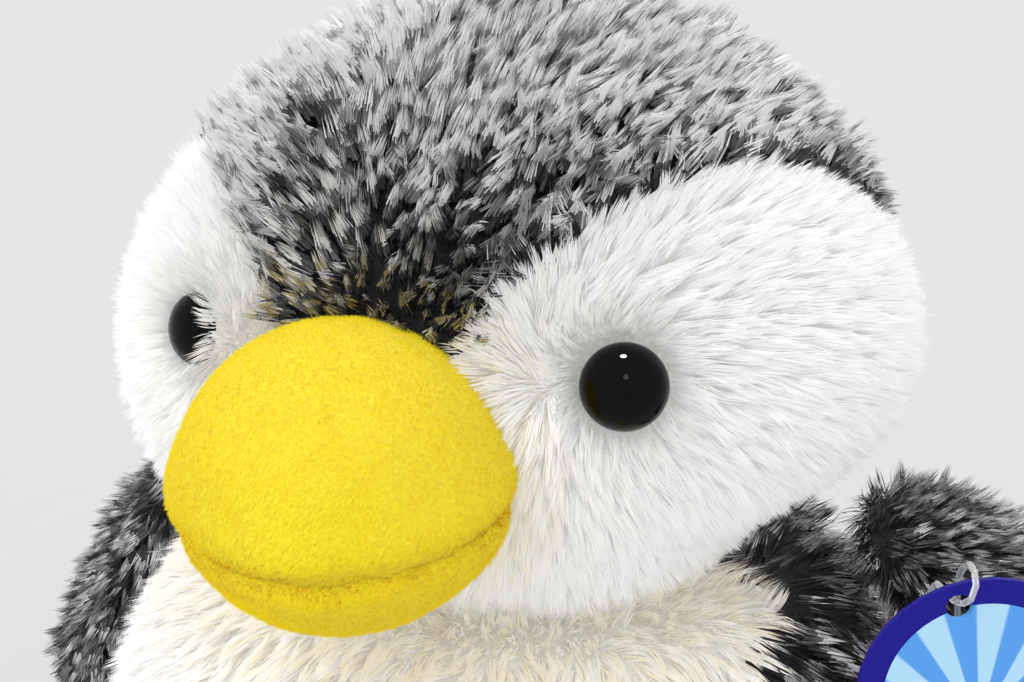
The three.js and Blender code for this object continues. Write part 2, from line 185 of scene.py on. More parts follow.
def ramp(tree, factor, stops, socket):
    """Feeds a socket with the colours between the stops."""
    node = tree.nodes.new("ShaderNodeValToRGB")
    elements = node.color_ramp.elements
    while len(elements) < len(stops):
        elements.new(0.5)
    for element, (at, rgb) in zip(elements, stops):
        element.position = at
        element.color = (*rgb, 1.0)
    tree.links.new(factor, node.inputs["Fac"])
    tree.links.new(node.outputs["Color"], socket)


def bump(tree, height, shader, distance):
    node = tree.nodes.new("ShaderNodeBump")
    node.inputs["Distance"].default_value = distance
    node.inputs["Strength"].default_value = 0.5
    tree.links.new(height, node.inputs["Height"])
    tree.links.new(node.outputs["Normal"], shader.inputs["Normal"])


def mottled(name, dark, light, scale, roughness=0.9, sheen=0.3, depth=0.0004):
    """A cloth or fibre finish: fine noise between two colours, with a bump from the same noise."""
    material, tree, shader = node_material(name, {"Roughness": roughness, "Sheen Weight": sheen})
    grain = noise(tree, scale)
    ramp(tree, grain, [(0.3, dark), (0.7, light)], shader.inputs["Base Color"])
    bump(tree, grain, shader, depth)
    return material


def tinted(rgb, factor):
    return tuple(min(1.0, c * factor) for c in rgb)


# Forms: stuffed shapes over the CAD panels

def hull_mesh(nodes):
    """The closed outer shape round some CAD nodes, as a bmesh."""
    bm = bmesh.new()
    for node in nodes:
        for vertex in frame["nodes"][node].data.vertices:
            bm.verts.new(vertex.co)
    bmesh.ops.remove_doubles(bm, verts=bm.verts, dist=0.05 * MM)
    found = bmesh.ops.convex_hull(bm, input=bm.verts)
    inside = [v for v in found["geom_interior"] if isinstance(v, bmesh.types.BMVert)]
    bmesh.ops.delete(bm, geom=inside, context="VERTS")
    bmesh.ops.recalc_face_normals(bm, faces=bm.faces)
    return bm


def linked(name, data):
    """A new object in the scene."""
    thing = bpy.data.objects.new(name, data)
    bpy.context.scene.collection.objects.link(thing)
    return thing


def new_object(name, bm, smooth=True):
    mesh = bpy.data.meshes.new(name)
    bm.to_mesh(mesh)
    bm.free()
    if smooth:
        mesh.shade_smooth()
    return linked(name, mesh)


def apply_modifiers(piece):
    graph = bpy.context.evaluated_depsgraph_get()
    mesh = bpy.data.meshes.new_from_object(piece.evaluated_get(graph))
    piece.modifiers.clear()
    old = piece.data
    piece.data = mesh
    bpy.data.meshes.remove(old)


def modify(piece, kind, **values):
    """Gives a piece a modifier and applies it."""
    modifier = piece.modifiers.new(kind, kind)
    for name, value in values.items():
        setattr(modifier, name, value)
    apply_modifiers(piece)


def vectors(items, name):
    """A vector of each vertex or face, as an array."""
    values = np.empty(len(items) * 3, np.float32)
    items.foreach_get(name, values)
    return values.reshape(-1, 3).astype(float)


def coordinates(mesh):
    return vectors(mesh.vertices, "co")


def vertex_normals(mesh):
    return vectors(mesh.vertex_normals, "vector")


def face_centres(mesh):
    return vectors(mesh.polygons, "center")


def face_normals(mesh):
    return vectors(mesh.polygons, "normal")


def set_coordinates(mesh, co):
    mesh.vertices.foreach_set("co", np.ascontiguousarray(co, np.float32).ravel())
    mesh.update()


# The fabric of the simulation, tuned for a swell that shows
FABRIC_MASS = 0.02
FABRIC_STIFFNESS = 5.0
FABRIC_BENDING = 0.1
LAST_FRAME = 20


def swell(piece, held, cap):
    """Blows the fabric up from inside by cloth simulation, except where a seam holds it."""
    start = coordinates(piece.data)
    group = piece.vertex_groups.new(name="seam")
    for index in np.nonzero(held)[0]:
        group.add([int(index)], 1.0, "REPLACE")
    cloth = piece.modifiers.new("Cloth", "CLOTH")
    physics = cloth.settings
    physics.quality = 4
    physics.mass = FABRIC_MASS
    physics.use_pressure = True
    physics.uniform_pressure_force = settings("sewing").tightness / (np.ptp(start, axis=0).min() / 2)
    physics.tension_stiffness = FABRIC_STIFFNESS
    physics.compression_stiffness = FABRIC_STIFFNESS
    physics.bending_stiffness = FABRIC_BENDING
    physics.effector_weights.gravity = 0.0
    physics.vertex_group_mass = "seam"
    cloth.collision_settings.use_collision = False
    cloth.point_cache.frame_start = 1
    cloth.point_cache.frame_end = LAST_FRAME
    scene = bpy.context.scene
    for moment in range(1, LAST_FRAME + 1):
        scene.frame_set(moment)
    apply_modifiers(piece)
    scene.frame_set(1)
    moved = coordinates(piece.data) - start
    far = np.linalg.norm(moved, axis=1, keepdims=True)
    moved *= np.minimum(1.0, cap / np.maximum(far, 1e-9))
    set_coordinates(piece.data, start + moved)


SHRINK = 0.1  # how much smaller than the panels a form starts, as a share of its cap


def stuffed_form(name, nodes, held, voxel=None, cap=None):
    """A swollen closed form round some CAD nodes; held says which points the seams keep in place."""
    sewing = settings("sewing")
    cap = cap or sewing.swell
    piece = new_object(name, hull_mesh(nodes))
    modify(piece, "REMESH", mode="VOXEL", voxel_size=voxel or sewing.voxel)
    modify(piece, "SMOOTH", iterations=4)
    co = coordinates(piece.data)
    kept = held(co)
    inwards = np.where(kept, 0.0, SHRINK * cap)[:, None] * vertex_normals(piece.data)
    set_coordinates(piece.data, co - inwards)
    swell(piece, kept, cap)
    modify(piece, "SUBSURF", levels=1, render_levels=1)
    piece.data.shade_smooth()
    return piece


def nearest_panel(points, nodes):
    """For each point, the index of the CAD node whose surface is nearest."""
    distance = np.empty((len(nodes), len(points)))
    for row, node in enumerate(nodes):
        bm = bmesh.new()
        bm.from_mesh(frame["nodes"][node].data)
        bmesh.ops.remove_doubles(bm, verts=bm.verts, dist=0.01 * MM)
        tree = BVHTree.FromBMesh(bm)
        bm.free()
        distance[row] = [tree.find_nearest(p)[3] for p in points]
    return np.argmin(distance, axis=0)


def backing(name, form, kept, body, node, slot):
    """The fabric of one panel: the form's faces that it covers, with the thickness of the backing."""
    bm = bmesh.new()
    bm.from_mesh(form.data)
    bm.faces.ensure_lookup_table()
    drop = [f for f in bm.faces if not kept[f.index]]
    bmesh.ops.delete(bm, geom=drop, context="FACES")
    loose = [v for v in bm.verts if not v.link_faces]
    bmesh.ops.delete(bm, geom=loose, context="VERTS")
    piece = new_object(name, bm)
    modify(piece, "SOLIDIFY", thickness=settings("sewing").backing, offset=-1.0, use_rim=True)
    piece.data.materials.append(knit(slot))
    finish_piece(piece, body, [node])


FILLING_INSET = 3.0 * MM


def filling(name, form, body, node, inset=FILLING_INSET):
    """The stuffing inside a form, some way in from its surface."""
    bm = bmesh.new()
    bm.from_mesh(form.data)
    bmesh.ops.smooth_vert(bm, verts=bm.verts, factor=0.5, use_axis_x=True, use_axis_y=True,
                          use_axis_z=True)
    bm.normal_update()
    for vertex in bm.verts:
        vertex.co -= vertex.normal * inset
    piece = new_object(name, bm)
    piece.data.materials.append(fibre())
    finish_piece(piece, body, [node])


def dress(node, material):
    """Gives a CAD node its finish."""
    mesh = frame["nodes"][node].data
    mesh.materials.clear()
    mesh.materials.append(material)


def finish_piece(piece, body, nodes):
    """Says which CAD nodes a piece stands for, by hiding them, and which body it rides."""
    if nodes:
        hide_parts(*nodes)
    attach(piece, body)


# Pile: thousands of thin tapered strands that grow from a form's faces. No mesh operator makes them, so
# their vertices are worked out as arrays.

class Pile:
    """The roots of a piece of pile on a form: where they are and which way is out. The density is strands
    to a square mm, as a number or worked out from points, up to the most in all."""

    def __init__(self, form, kept, density, seed, most):
        mesh = form.data
        mesh.calc_loop_triangles()
        count = len(mesh.loop_triangles)
        corners = np.empty(count * 3, np.int32)
        mesh.loop_triangles.foreach_get("vertices", corners)
        polygon = np.empty(count, np.int32)
        mesh.loop_triangles.foreach_get("polygon_index", polygon)
        corners = corners.reshape(-1, 3)[kept[polygon]]
        co = coordinates(mesh)
        normals = vertex_normals(mesh)
        a, b, c = (co[corners[:, i]] for i in range(3))
        area = np.linalg.norm(np.cross(b - a, c - a), axis=1) / 2
        weight = area * (density((a + b + c) / 3) if callable(density) else density)
        self.rng = np.random.default_rng(seed)
        total = min(int(weight.sum() / (MM * MM)), most)
        chosen = self.rng.choice(len(weight), total, p=weight / weight.sum())
        u, v = self.rng.random((2, total))
        fold = u + v > 1
        u[fold], v[fold] = 1 - u[fold], 1 - v[fold]
        bary = np.stack([1 - u - v, u, v], axis=1)
        picked = corners[chosen]
        self.root = np.einsum("ij,ijk->ik", bary, co[picked])
        self.normal = unit(np.einsum("ij,ijk->ik", bary, normals[picked]))

    def __len__(self):
        return len(self.root)

    def keep(self, chosen):
        self.root, self.normal = self.root[chosen], self.normal[chosen]


def unit(v):
    return v / np.maximum(np.linalg.norm(v, axis=-1, keepdims=True), 1e-12)


def tangent(v, normal):
    """The part of v that lies along the surface, as a unit vector."""
    return unit(v - np.sum(v * normal, axis=1, keepdims=True) * normal)


def turned(v, axis, angle):
    """v turned about unit axes, all as arrays."""
    c, s = np.cos(angle)[:, None], np.sin(angle)[:, None]
    return v * c + np.cross(axis, v) * s + axis * (np.sum(axis * v, axis=1, keepdims=True) * (1 - c))


def patches(points, size, seed):
    """Smooth random values from about -1 to 1 that vary over patches of the given size."""
    rng = np.random.default_rng(seed)
    total = np.zeros(len(points))
    for _ in range(9):
        wave = unit(rng.normal(size=3)) * (2 * math.pi / (size * rng.uniform(0.7, 1.5)))
        total += np.sin(points @ wave + rng.uniform(0, 2 * math.pi))
    return total / 3.0


# A strand's rings: how far along it, how much of its width, and which faces join them
ONE_STEP = ([(0.0, 1.0), (1.0, 0.0)], [[0, 1, 2]])
TWO_STEPS = ([(0.0, 1.0), (0.5, 0.9), (1.0, 0.0)], [[0, 1, 3, 2], [2, 3, 4]])
THREE_STEPS = ([(0.0, 0.0), (0.36, 1.0), (0.68, 0.85), (1.0, 0.0)], [[0, 1, 2], [1, 2, 4, 3], [3, 4, 5]])


def nearest(points, others):
    """For each point, the index of the nearest of the others."""
    tree = KDTree(len(others))
    for i, other in enumerate(others):
        tree.insert(other, i)
    tree.balance()
    return np.fromiter((tree.find(p)[1] for p in points), int, len(points))


ROOT_DEPTH = 0.4 * MM  # how deep in the fabric a strand starts


def grow(name, pile, comb, length, lean, dye, body, steps=TWO_STEPS, width=1.0, twist=0.35,
         members=12, pull=0.5, stray=0.3, spread=0.12):
    """Makes the strands. comb is each root's unit direction along the surface, length its strand's length
    and lean its angle from upright. A tuft has members, a pull of their tips together, a stray of its
    comb and a spread of its lean. dye gives the shade of each face and the materials."""
    rng, root, normal = pile.rng, pile.root, pile.normal
    count = len(root)
    centres = rng.choice(count, max(1, count // members), replace=False)
    tuft = nearest(root, root[centres])
    tuft_turn = rng.normal(0, stray, len(centres))
    tuft_bend = rng.normal(0, spread, len(centres))
    tuft_grow = rng.uniform(0.8, 1.12, len(centres))
    tuft_comb = turned(comb[centres], normal[centres], tuft_turn)
    tuft_lean = np.clip(lean[centres] + tuft_bend, 0.05, 1.5)[:, None]
    tuft_axis = tuft_comb * np.sin(tuft_lean) + normal[centres] * np.cos(tuft_lean)
    tuft_line = root[centres][tuft]

    own_comb = turned(comb, normal, tuft_turn[tuft] + rng.normal(0, stray * 0.22, count))
    own_lean = lean + tuft_bend[tuft] + rng.normal(0, 0.055, count)
    own_length = length * tuft_grow[tuft] * rng.uniform(0.8, 1.0, count)
    rings, faces = steps
    foot = root - normal * ROOT_DEPTH
    line = []
    point, last = foot, 0.0
    for at, _ in rings:
        bend = np.clip(own_lean * (0.62 + 0.66 * (at + last) / 2), 0.03, 1.6)[:, None]
        way = own_comb * np.sin(bend) + normal * np.cos(bend)
        point = point + way * ((at - last) * own_length)[:, None]
        toward = tuft_line + tuft_axis[tuft] * (at * own_length)[:, None]
        line.append(point + (toward - point) * (pull * at ** 1.3))
        last = at

    axis = unit(line[-1] - foot)
    across = turned(unit(np.cross(axis, normal)), axis, rng.uniform(-twist, twist, count))
    size = settings("pile").strand_width * width
    half = (size * rng.uniform(0.75, 1.2, count) / 2)[:, None]
    columns = []
    for place, (_, share) in zip(line, rings):
        columns += [place - across * half * share, place + across * half * share] if share else [place]
    verts = np.stack(columns, axis=1).reshape(-1, 3)
    pattern = np.concatenate(faces)
    loops = (pattern[None, :] + (np.arange(count) * len(columns))[:, None]).ravel()
    totals = np.tile([len(face) for face in faces], count)
    shades, materials = dye(pile, tuft)

    mesh = bpy.data.meshes.new(name)
    mesh.vertices.add(len(verts))
    mesh.vertices.foreach_set("co", verts.astype(np.float32).ravel())
    mesh.loops.add(len(loops))
    mesh.loops.foreach_set("vertex_index", loops.astype(np.int32))
    mesh.polygons.add(len(totals))
    starts = np.concatenate([[0], np.cumsum(totals)[:-1]])
    mesh.polygons.foreach_set("loop_start", starts.astype(np.int32))
    mesh.polygons.foreach_set("loop_total", totals.astype(np.int32))
    for material in materials:
        mesh.materials.append(material)
    mesh.polygons.foreach_set("material_index", shades.astype(np.int32).ravel())
    mesh.polygons.foreach_set("use_smooth", np.ones(len(totals), bool))
    mesh.update(calc_edges=True)
    finish_piece(linked(name, mesh), body, ())


FROSTED_LEVELS = (-0.95, -0.45, 0.0, 0.5)


def frosted(pale=0.0, straw=None):
    """Dark roots and pale tips, tuft by tuft, in soft darker and lighter patches. pale makes the tips
    paler, as frost and, on the crown, as painted light; straw is how likely each strand is to be straw
    coloured."""

    def dye(pile, tuft):
        rng = pile.rng
        patch = patches(pile.root, 24 * MM, 11) * 0.42 + patches(pile.root, 8 * MM, 12) * 0.3
        own = patch + rng.normal(0, 0.42, tuft.max() + 1)[tuft] + rng.normal(0, 0.1, len(pile))
        own += 0.2 + pale
        tip = np.digitize(own, FROSTED_LEVELS) + 1
        middle = np.digitize(own - 0.85, FROSTED_LEVELS)
        root = np.digitize(own - 2.0, FROSTED_LEVELS)
        if straw is not None:
            tip = np.where(rng.random(len(pile)) < straw, 6, tip)
        return np.stack([root, middle, tip], axis=1), frosted_materials()

    return dye


@cache
def frosted_materials():
    # Silver and frost end with a painted glow: emission that lifts their shade.
    return [strand_material(f"pile_{name}", *finish) for name, *finish in (
        ("black", settings("colours").black, 0.6, 0.1),
        ("soot", (0.03, 0.03, 0.031), 0.6, 0.1),
        ("charcoal", (0.075, 0.075, 0.077), 0.55, 0.15),
        ("grey", (0.18, 0.18, 0.185), 0.5, 0.2),
        ("silver", (0.40, 0.40, 0.41), 0.5, 0.25, 0.03),
        ("frost", (0.78, 0.78, 0.785), 0.5, 0.3, 0.06),
        ("straw", (0.38, 0.31, 0.10), 0.5, 0.2),
    )]


@cache
def white_materials(panel, painted_glow):
    colours = settings("colours")
    # Their glow is painted light, and the roots take a little more of it to lift the shade deep in the
    # pile.
    return [strand_material(f"{panel}_{name}", *finish) for name, *finish in (
        ("white_root", tinted(colours.white, 0.9), 0.7, 0.3, painted_glow + 0.04),
        ("white", colours.white, 0.6, 0.3, painted_glow),
        ("white_bright", tinted(colours.white, 1.05), 0.6, 0.3, painted_glow + 0.02),
        ("cream_and_bounce", colours.cream_and_bounce, 0.6, 0.3, painted_glow),
    )]


@cache
def yellow_materials():
    # The yellows end with a painted glow: emission that brightens them.
    return [strand_material(f"pile_{name}", *finish) for name, *finish in (
        # Deep yellow is random tone, and also painted shade on the beak's underside and beside its mouth
        # seam.
        ("yellow_deep", (0.93, 0.77, 0.012), 0.75, 0.25, 0.06),
        ("yellow", settings("colours").yellow, 0.75, 0.3, 0.06),
        ("yellow_light", (0.97, 0.91, 0.09), 0.75, 0.35, 0.07),
        # The orange is painted shade in the crease of the mouth seam.
        ("seam_shade", (0.66, 0.34, 0.003), 0.8, 0.0),
    )]


def white(cream_and_bounce, panel="pile", painted_glow=0.1):
    """White strands, some of them cream, which is partly cream pile and partly painted warm bounce light.
    """

    def dye(pile, tuft):
        rng = pile.rng
        count = len(pile)
        tip = np.where(rng.random(count) < 0.5, 1, 2)
        warm = rng.random(count) < cream_and_bounce
        shades = np.stack([np.where(warm, 3, 0), np.where(warm, 3, tip)], axis=1)
        return shades, white_materials(panel, painted_glow)

    return dye


def yellow(seam_shade, painted_shade=0.0):
    """Yellow strands in random tones, some of them orange as painted shade in the mouth seam, and more of
    them deep yellow as painted shade where the second number is above 0.
    """

    def dye(pile, tuft):
        rng = pile.rng
        pick = rng.normal(0, 0.3, len(pile)) + patches(pile.root, 7 * MM, 31) * 0.12 - painted_shade
        tip = np.digitize(pick, (-0.5, 0.45))
        return np.where(rng.random(len(pile)) < seam_shade, 3, tip)[:, None], yellow_materials()

    return dye


KNITS = {
    "frosted_plush": ("knit_charcoal", (0.006, 0.006, 0.006), (0.03, 0.03, 0.032), 1400.0),
    "white_plush": ("knit_white", (0.72, 0.70, 0.66), (0.90, 0.89, 0.86), 1400.0),
    "yellow_plush": ("knit_yellow", (0.84, 0.64, 0.008), (0.95, 0.80, 0.015), 1600.0, 0.95, 0.0),
}


@cache
def knit(slot):
    """The knitted fabric under a slot's pile."""
    return mottled(*KNITS[slot])


@cache
def fibre():
    return mottled("polyester_fibre", (0.78, 0.78, 0.76), (0.93, 0.93, 0.92), 350.0, 1.0, 0.5, 0.002)


# Head

HEAD_PANELS = ["head_crown", "face_panel_left", "face_panel_right"]
BEAK_RADII = np.array((27, 26.5, 24.5)) * MM
EYE_RADIUS = 7.0 * MM
EYE_RISE = 5.6 * MM  # from the eye's widest circle to its dome's top
EYE_STAND = {"left": 7.0 * MM, "right": 3.0 * MM}  # how far the dome's top stands past its CAD solid
EYE_SHIFT = Vector((1.1, 0, 0)) * MM
CHEEK = Vector((31, -57, 6)) * MM  # where the face pile parts, from the middle of the head
BEAK_OVERLAP = -3.4 * MM  # the head's pile starts this far inside the beak


def eye_places():
    """The middle of each eye's widest circle, level with the pile, and the direction that it looks in."""
    places = {}
    for side in SIDES:
        co = coordinates(frame["nodes"][f"eye_{side}"].data)
        washer = coordinates(frame["nodes"][f"eye_washer_{side}"].data)
        reach = co - (washer.min(0) + washer.max(0)) / 2
        far = np.argmax(np.linalg.norm(reach, axis=1))
        direction = Vector(reach[far]).normalized()
        places[side] = (Vector(co[far]) + direction * (EYE_STAND[side] - EYE_RISE) + EYE_SHIFT, direction)
    return places


def beak_gap(points):
    """How far points are outside the beak, roughly."""
    return (np.linalg.norm((points - np.array(BEAK_CENTRE)) / BEAK_RADII, axis=1) - 1) * 26 * MM


def near_beak(points, reach):
    """1 at the beak's edge, 0 at a distance."""
    return np.clip(1 - np.maximum(beak_gap(points), 0) / reach, 0, 1)


def border(points, others, reach):
    """How near points are to a neighbouring panel, from 0 to 1, and the way from it to each point."""
    away = points - others[nearest(points, others)]
    gap = np.linalg.norm(away, axis=1)
    return np.clip(1 - (gap - 1.5 * MM) / reach, 0, 1), away


def face_comb(points, normals, sign):
    """White pile lies away from a spot between the beak and the eye."""
    spot = np.array(HEAD_CENTRE) + np.array((sign * CHEEK.x, CHEEK.y, CHEEK.z))
    return tangent(unit(points - spot) + (0.0, 0.05, -0.25), normals)


def crown_comb(points, normals):
    """Frosted pile parts along the forehead, and lies outwards and back from there."""
    middle = np.tanh((points[:, 0] + 6 * MM) / (7 * MM))
    rise = np.stack([0.85 * middle, np.full(len(points), 0.3), np.full(len(points), 0.6)], axis=1)
    behind = step(points[:, 1], -5, 25)[:, None]
    down = rise * (0.6, 0.6, 0.0) + (0.0, 0.25, -1.0)
    return tangent(rise * (1 - behind) + down * behind, normals)


# Darker and paler spots of the crown, across and up from the middle of the head: place, radius, amount
CROWN_SPOTS = (
    (-14, 41, 9, -0.9), (-9, 33, 8, -0.6), (27, 37, 9, -0.7), (63, 38, 9, -0.9),
    (-25, 31, 10, 0.7), (7, 32, 7, 0.9), (6, 46, 8, 0.5), (29, 47, 8, 0.5),
)


def crown_frost_and_light(rel):
    """How much paler than usual the crown is at points from the middle of the head: frost, and painted
    light on the top and the sides, most on the side that faces the key lamp.
    """
    high = 0.5 + 1.7 * np.clip((rel[:, 2] - 34 * MM) / (24 * MM), -0.3, 1)
    front = high + step(-rel[:, 0], 16, 14) * 0.9 + step(rel[:, 0], 40, 14) * 0.35
    for x, z, radius, amount in CROWN_SPOTS:
        away = np.hypot(rel[:, 0] - x * MM, rel[:, 2] - z * MM) / (radius * MM)
        front += amount * np.exp(-away ** 2)
    share = step(-rel[:, 1], -10, 22)
    return front * share + 0.15 * (1 - share)


class PENGUIN_OT_head(Operator):
    """Stuffs the head and grows the frosted crown and the white face"""

    bl_idname = "penguin.head"
    bl_label = "Head"

    def execute(self, context):
        form = stuffed_form("head_form", HEAD_PANELS, lambda co: co[:, 2] < NECK_Z + 5 * MM)
        self.shape(form)
        filling("head_filling", form, "head", "head_stuffing")
        centres, normals = face_centres(form.data), face_normals(form.data)
        neck = (centres[:, 2] < NECK_Z + 1.5 * MM) & (normals[:, 2] < -0.6)
        panel = nearest_panel(centres, HEAD_PANELS)
        backing("crown_backing", form, panel == 0, "head", "head_crown", "frosted_plush")
        for i, side in enumerate(SIDES, start=1):
            backing(f"face_backing_{side}", form, panel == i, "head", f"face_panel_{side}", "white_plush")
            self.grow_face(form, ~neck & (panel == i), side, centres[panel == 0])
        self.grow_crown(form, ~neck & (panel == 0), centres[panel > 0])
        bpy.data.objects.remove(form)
        return {"FINISHED"}

    def shape(self, form):
        """The stuffed head leans a little to its left, and its right cheek is fuller."""
        co, normals = coordinates(form.data), vertex_normals(form.data)
        rel = from_head(co)
        fuller = step(-rel[:, 0], 20, 30) * bell(rel[:, 2], -5, 36) * 3.5 * MM
        slim = step(rel[:, 0], 34, 24) * bell(rel[:, 2], -30, 16)
        co += normals * (fuller - slim * 6.5 * MM)[:, None]
        co[:, 0] += np.where(rel[:, 2] > 0, 0.07, 0.12) * rel[:, 2]
        set_coordinates(form.data, co)

    def grow_face(self, form, kept, side, crown):
        sign = SIDES[side]
        most = 63000 if side == "left" else 42000
        pile = Pile(form, kept, 5.5, 100 + (side == "left"), most)
        seat, direction = eye_places()[side]
        offset = pile.root - np.array(seat)
        flat = offset - np.outer(offset @ np.array(direction), np.array(direction))
        gap = np.linalg.norm(flat, axis=1)
        bare = EYE_RADIUS - (EYE_STAND["left"] - EYE_STAND[side]) * 0.4
        outside = (gap > bare) & (beak_gap(pile.root) > BEAK_OVERLAP)
        pile.keep(outside)
        flat, gap = flat[outside], gap[outside]
        comb = face_comb(pile.root, pile.normal, sign)
        close = np.clip(1 - (gap - EYE_RADIUS) / (6 * MM), 0, 1)
        comb = tangent(comb * (1 - close)[:, None] + unit(flat) * close[:, None] * 1.5, pile.normal)
        by_beak = near_beak(pile.root, 8 * MM)
        rel = from_head(pile.root)
        under = step(-rel[:, 2], 12, 20) * step(rel[:, 0], 30, 20)
        seam, _ = border(pile.root, crown, 4 * MM)
        length = settings("pile").face_length * (1 - 0.15 * close) * (1 - 0.12 * by_beak)
        length *= (1 - 0.35 * under) * (1 - 0.3 * seam)
        lean = np.radians(46 - 26 * close - 8 * by_beak)
        # Cream strands near the beak are partly cream pile and partly painted warm light thrown by the
        # yellow beak.
        grow(f"face_pile_{side}", pile, comb, length, lean, white(by_beak * 0.5), "head",
             twist=0.25, pull=0.28, stray=0.24, spread=0.1)

    def grow_crown(self, form, kept, white_faces):
        centres = face_centres(form.data)
        front, near = centres[:, 1] < 8 * MM, centres[:, 0] > 0
        top = centres[:, 2] > HEAD_CENTRE.z + 38 * MM
        for name, part, density, most, width in (
            ("brow_left", front & near & ~top, 5.5, 49000, 1.0),
            ("brow_right", front & ~near & ~top, 5.5, 49000, 1.0),
            ("top", front & top, 5.5, 49000, 1.0),
            ("back", ~front, 3.2, 36000, 1.45),
        ):
            pile = Pile(form, kept & part, density, 120, most)
            pile.keep(beak_gap(pile.root) > BEAK_OVERLAP)
            by_beak = near_beak(pile.root, 9 * MM)
            rel = from_head(pile.root)
            edge = step(rel[:, 0], 50, 12) * step(-rel[:, 2], -36, 12)
            seam, away = border(pile.root, white_faces, 4 * MM)
            seam = (seam * (1 - by_beak))[:, None]
            comb = crown_comb(pile.root, pile.normal)
            comb = tangent(comb * (1 - 0.7 * seam) + unit(away) * 0.7 * seam, pile.normal)
            length = settings("pile").crown_length * (1 - 0.3 * by_beak) * (1 - 0.4 * edge)
            lean = np.radians(38 + 7 * patches(pile.root, 15 * MM, 5) - 8 * by_beak + 24 * edge)
            straw = np.where(by_beak > 0.55, 0.5, 0.0)
            grow(f"crown_pile_{name}", pile, comb, length, lean, frosted(crown_frost_and_light(rel), straw),
                 "head", steps=THREE_STEPS, width=width, members=21, pull=0.62,
                 stray=0.36, spread=0.22)


# Beak

MOUTH_SLOPE = math.tan(math.radians(5.0))
MOUTH_RISE = 3.0 * MM  # from the seam's middle to its corners


def mouth_height(points):
    """Height of points above the mouth seam, which drops towards the tip and rises to its corners."""
    rise = (points[:, 0] / BEAK_RADII[0]) ** 2 * MOUTH_RISE
    return points[:, 2] - MOUTH_Z - (points[:, 1] - BEAK_CENTRE.y) * MOUTH_SLOPE - rise


class PENGUIN_OT_beak(Operator):
    """Stuffs the beak, pulls in its mouth seam and grows its short pile"""

    bl_idname = "penguin.beak"
    bl_label = "Beak"

    def execute(self, context):
        def root(co):
            return co[:, 1] > -HEAD_RADII.y + 3 * MM

        form = stuffed_form("beak_form", ["beak_upper", "beak_lower"], root, 2.6 * MM, 1.6 * MM)
        co, normals = coordinates(form.data), vertex_normals(form.data)
        height = mouth_height(co)
        groove = bell(height, 0, 2.2) * 1.5 * MM
        full = step(BEAK_CENTRE.y - co[:, 1], 0, 20) * np.clip(-height / (8 * MM) + 1.2, 0, 1)
        corner = np.clip(np.abs(co[:, 0]) / (12 * MM) - 1, 0, 1) * bell(height, 1, 10)
        co += normals * (full * 1.2 * MM - groove)[:, None]
        co[:, 0] += np.sign(co[:, 0]) * corner * 2.2 * MM
        set_coordinates(form.data, co)
        centres = face_centres(form.data)
        outside = np.linalg.norm(from_head(centres) / np.array(HEAD_RADII), axis=1) > 0.97
        above = mouth_height(centres) > 0
        filling("beak_filling", form, "head", "beak_stuffing", 2.8 * MM)
        for name, kept, seed in (("upper", outside & above, 140), ("lower", outside & ~above, 141)):
            backing(f"beak_{name}_backing", form, kept, "head", f"beak_{name}", "yellow_plush")
            self.grow_pile(name, form, kept, seed)
        bpy.data.objects.remove(form)
        return {"FINISHED"}

    def grow_pile(self, name, form, kept, seed):
        pile = Pile(form, kept, 26.0, seed, 100000)
        comb = tangent(np.array((0.0, -1.0, -0.35)), pile.normal)
        height = mouth_height(pile.root)
        # Painted shade: an orange core and a wider deep yellow band along the mouth seam's crease, fainter
        # towards the far side, and more deep yellow towards the beak's underside.
        shown = np.maximum(step(pile.root[:, 0], -24, 12), 0.25)
        seam = bell(height, 0, 1.3) * shown
        crease_shade = bell(height, 0, 4) * shown
        lower = np.clip(0.5 - height / (10 * MM), 0, 1)
        length = settings("pile").yellow_length * (1 - 0.3 * seam)
        lean = np.radians(40 + 6 * patches(pile.root, 6 * MM, 8))
        grow(f"beak_{name}_pile", pile, comb, length, lean,
             yellow(seam * 0.85 + crease_shade * 0.16, lower * 0.4 + crease_shade * 0.4), "head",
             steps=ONE_STEP, width=0.5, twist=0.2, members=6, pull=0.15, stray=0.25, spread=0.07)


# Eyes

